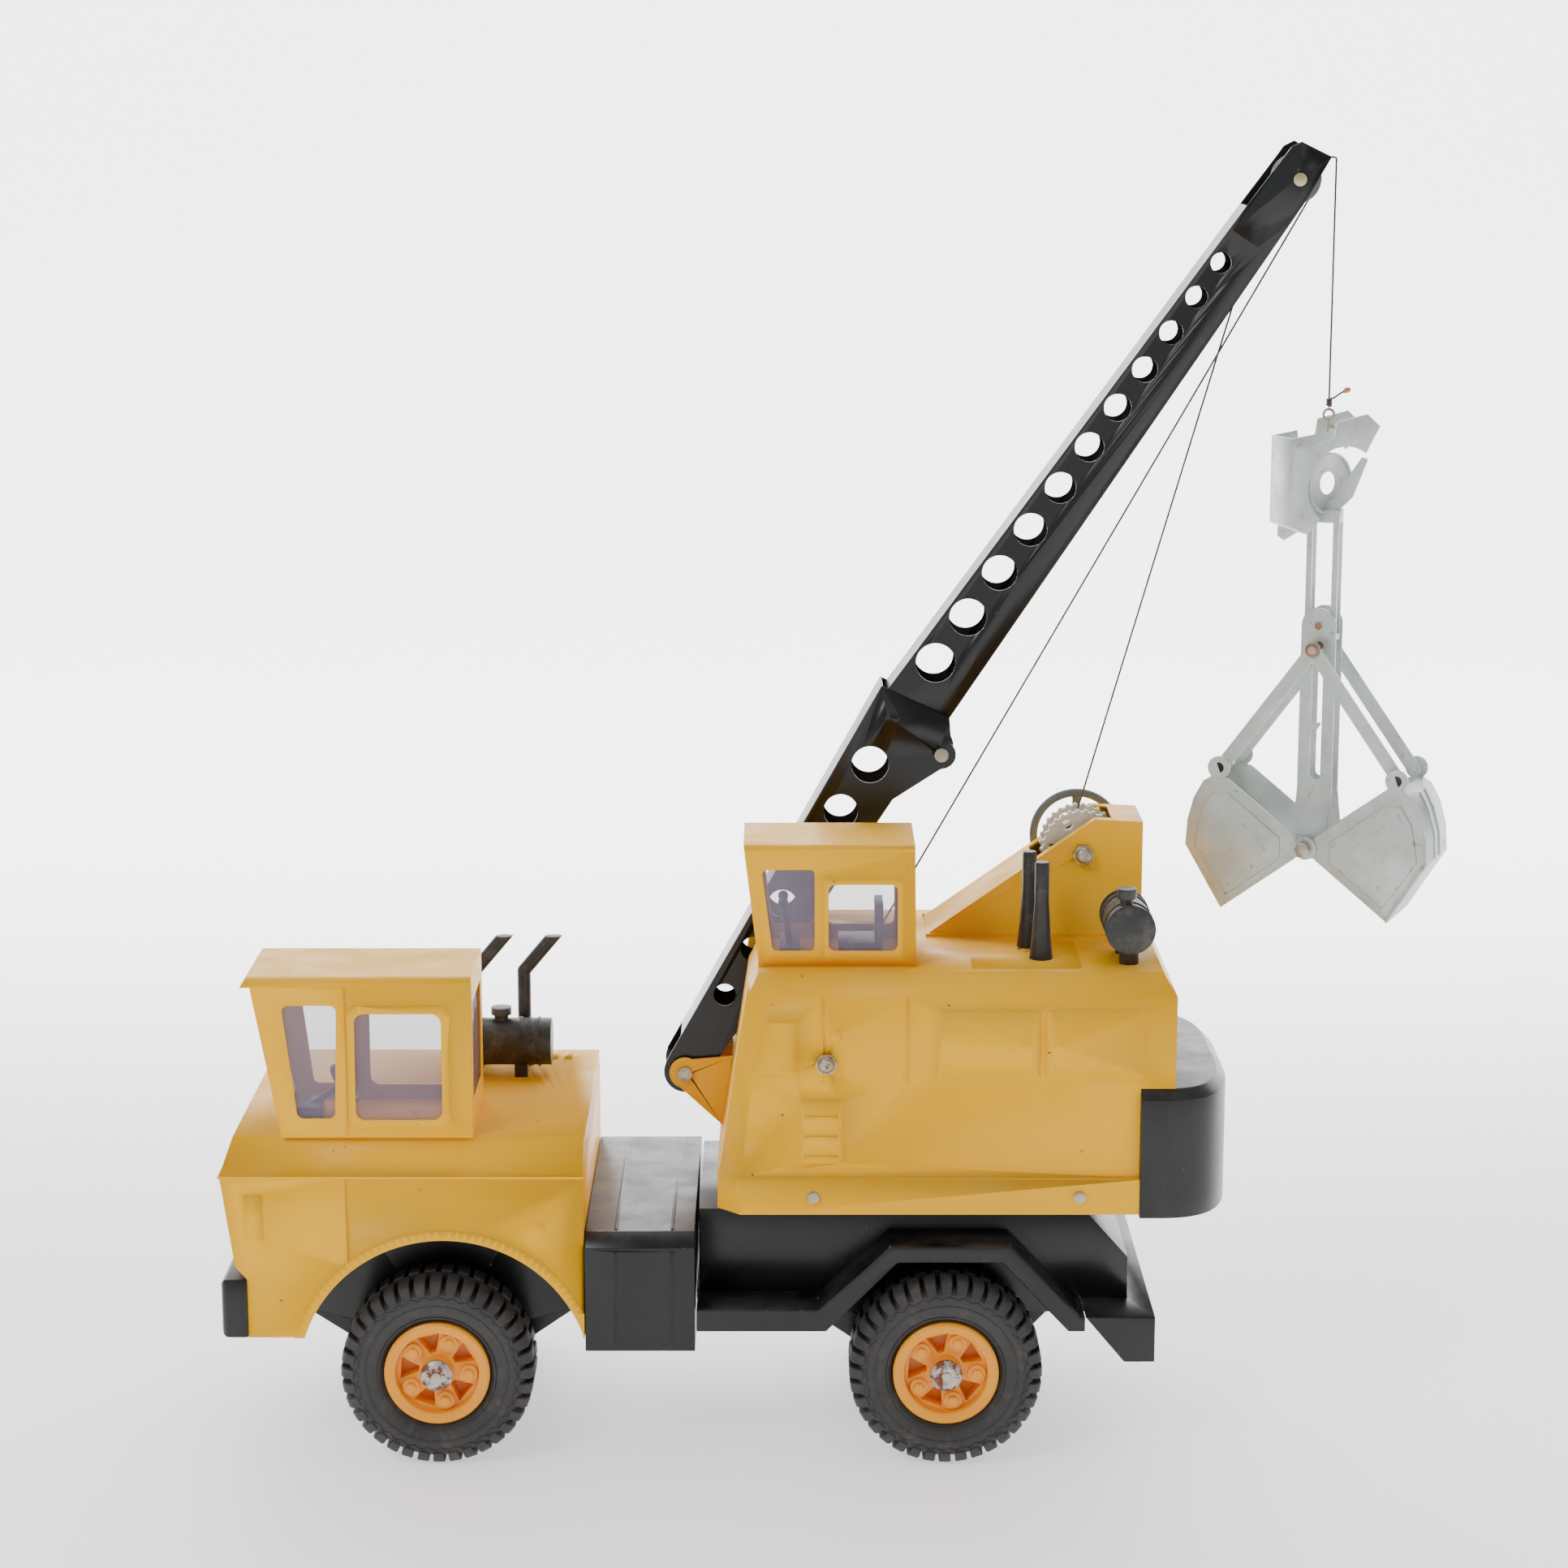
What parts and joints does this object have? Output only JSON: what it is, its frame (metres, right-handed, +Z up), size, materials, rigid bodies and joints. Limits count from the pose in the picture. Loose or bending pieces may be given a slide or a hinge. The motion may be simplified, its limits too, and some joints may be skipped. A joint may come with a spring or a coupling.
{
  "type": "toy crane truck",
  "caption": "Pressed-steel style toy truck with a half-width cab, a turning crane house, a luffing boom and a clam bucket hung on a cord.",
  "frame": {"origin": "on the ground under the middle of the whole length and width", "axes": "+Z up, the cab faces -X, +Y is the side away from the cab"},
  "size_m": [0.7576, 0.242, 0.79],
  "materials": {
    "tyre": "moulded, dusty",
    "hub_plastic": "moulded satin",
    "rusty_zinc": "zinc with rust",
    "steel": "plain, aged",
    "copper_rivet": "coppered",
    "brass": "satin",
    "yellow_paint": "baked enamel",
    "black_paint": "baked enamel, gloss",
    "black_plastic": "satin",
    "clear_liner": "thin clear sheet",
    "white_nylon": "satin",
    "grey_plastic": "satin",
    "zinc_plate": "zinc plated",
    "cord": "waxed twist"
  },
  "bodies": {
    "chassis": {"chassis": "black_paint", "axles": "steel", "axle_push_nuts": "rusty_zinc", "front_body": "yellow_paint", "front_cab": "yellow_paint", "cab_glazing": "clear_liner", "steering_wheel": "black_plastic", "front_bumper": "black_paint", "wheel_liners": "black_paint", "front_frame": "black_paint", "hood_air_cleaner": "black_plastic", "hood_exhausts": "black_plastic", "battery_box": "black_paint", "fender_left": "black_paint", "fender_right": "black_paint", "rear_bumper": "black_paint", "slew_pin": "steel"},
    "turret": {"turret_body": "yellow_paint", "turret_floor": "black_paint", "turret_screws": "steel", "turret_cab": "yellow_paint", "turret_glazing": "clear_liner", "control_levers": "black_plastic", "counterweight": "black_paint", "winch_housing": "yellow_paint", "roof_stacks": "black_plastic", "roof_air_cleaner": "black_plastic", "boom_ears": "yellow_paint", "boom_pin": "steel", "hoist_line": "cord", "luff_line": "cord"},
    "hoist_winch": {"hoist_winch": "steel", "hoist_hand_wheel": "grey_plastic"},
    "luff_winch": {"luff_shaft": "steel", "luff_drum": "white_nylon", "luff_hand_wheel": "grey_plastic"},
    "boom": {"lower_boom": "black_paint", "upper_boom": "black_paint", "knee_rivet": "steel", "sheave_pin": "brass"},
    "sheave": {"boom_sheave": "grey_plastic"},
    "load_line": {"drop_line": "cord"},
    "bucket": {"bucket_head": "zinc_plate", "trip_disc": "zinc_plate", "cord_eye": "steel", "bucket_mast": "zinc_plate", "jaw_pin": "steel"},
    "jaw_left": {"jaw_left": "zinc_plate"},
    "jaw_right": {"jaw_right": "zinc_plate"},
    "crosshead": {"crosshead_pin": "copper_rivet"},
    "strut_left": {"strut_left": "zinc_plate"},
    "strut_right": {"strut_right": "zinc_plate"},
    "wheel_front_left": {"tyre_front_left": "tyre", "hub_front_left": "hub_plastic"},
    "wheel_front_right": {"tyre_front_right": "tyre", "hub_front_right": "hub_plastic"},
    "wheel_rear_left": {"tyre_rear_left": "tyre", "hub_rear_left": "hub_plastic"},
    "wheel_rear_right": {"tyre_rear_right": "tyre", "hub_rear_right": "hub_plastic"}
  },
  "joints": [
    {"name": "wheel_front_left_spin", "type": "hinge", "parent": "chassis", "child": "wheel_front_left", "pos_m": [-0.2478, -0.098, 0.059], "axis": [0, 1, 0], "continuous": true},
    {"name": "wheel_front_right_spin", "type": "hinge", "parent": "chassis", "child": "wheel_front_right", "pos_m": [-0.2478, 0.098, 0.059], "axis": [0, 1, 0], "continuous": true},
    {"name": "wheel_rear_left_spin", "type": "hinge", "parent": "chassis", "child": "wheel_rear_left", "pos_m": [0.0602, -0.098, 0.059], "axis": [0, 1, 0], "continuous": true},
    {"name": "wheel_rear_right_spin", "type": "hinge", "parent": "chassis", "child": "wheel_rear_right", "pos_m": [0.0602, 0.098, 0.059], "axis": [0, 1, 0], "continuous": true},
    {"name": "turret_slew", "type": "hinge", "parent": "chassis", "child": "turret", "pos_m": [0.0522, 0, 0.154], "axis": [0, 0, 1], "continuous": true},
    {"name": "boom_luff", "type": "hinge", "parent": "turret", "child": "boom", "pos_m": [-0.1003, 0.038, 0.21], "axis": [0, -1, 0], "range_deg": [0, 12], "deforming": ["hoist_line", "luff_line"]},
    {"name": "sheave_spin", "type": "hinge", "parent": "boom", "child": "sheave", "pos_m": [0.2731, 0.038, 0.7675], "axis": [0, 1, 0], "range_deg": [-490, 250]},
    {"name": "hoist_winch_spin", "type": "hinge", "parent": "turret", "child": "hoist_winch", "pos_m": [-0.0125, 0.038, 0.2475], "axis": [0, 1, 0], "range_deg": [-290, 580]},
    {"name": "luff_winch_spin", "type": "hinge", "parent": "turret", "child": "luff_winch", "pos_m": [0.1487, 0.038, 0.353], "axis": [0, 1, 0], "range_deg": [0, 216]},
    {"name": "load_swing", "type": "hinge", "parent": "boom", "child": "load_line", "pos_m": [0.2731, 0.038, 0.7675], "axis": [0, -1, 0], "range_deg": [-2.5, 0]},
    {"name": "hoist", "type": "slide", "parent": "load_line", "child": "bucket", "axis": [0, 0, 1], "range_m": [-0.05, 0.08], "deforming": ["drop_line"]},
    {"name": "jaw_left_close", "type": "hinge", "parent": "bucket", "child": "jaw_left", "pos_m": [0.2974, 0.038, 0.356], "axis": [-0.4067, -0.9135, 0], "range_deg": [0, 50]},
    {"name": "jaw_right_close", "type": "hinge", "parent": "bucket", "child": "jaw_right", "pos_m": [0.2974, 0.038, 0.356], "axis": [-0.4067, -0.9135, 0], "range_deg": [-50, 0]},
    {"name": "crosshead_slide", "type": "slide", "parent": "bucket", "child": "crosshead", "axis": [0, 0, 1], "range_m": [-0.0747, 0]},
    {"name": "strut_left_swing", "type": "hinge", "parent": "crosshead", "child": "strut_left", "pos_m": [0.2974, 0.038, 0.4806], "axis": [-0.4067, -0.9135, 0], "range_deg": [-12.9, 0]},
    {"name": "strut_right_swing", "type": "hinge", "parent": "crosshead", "child": "strut_right", "pos_m": [0.2974, 0.038, 0.4806], "axis": [-0.4067, -0.9135, 0], "range_deg": [0, 12.9]}
  ],
  "couplings": [
    {"joint": "sheave_spin", "follows": "hoist", "rad_per_m": -83.33},
    {"joint": "hoist_winch_spin", "follows": "hoist", "rad_per_m": 100},
    {"joint": "luff_winch_spin", "follows": "boom_luff", "ratio": 17.8},
    {"joint": "load_swing", "follows": "boom_luff", "ratio": -0.2},
    {"joint": "jaw_right_close", "follows": "jaw_left_close", "ratio": -1},
    {"joint": "crosshead_slide", "follows": "jaw_left_close", "m_per_rad": -0.0855},
    {"joint": "strut_left_swing", "follows": "jaw_left_close", "ratio": -0.2564},
    {"joint": "strut_right_swing", "follows": "jaw_left_close", "ratio": 0.2564}
  ]
}
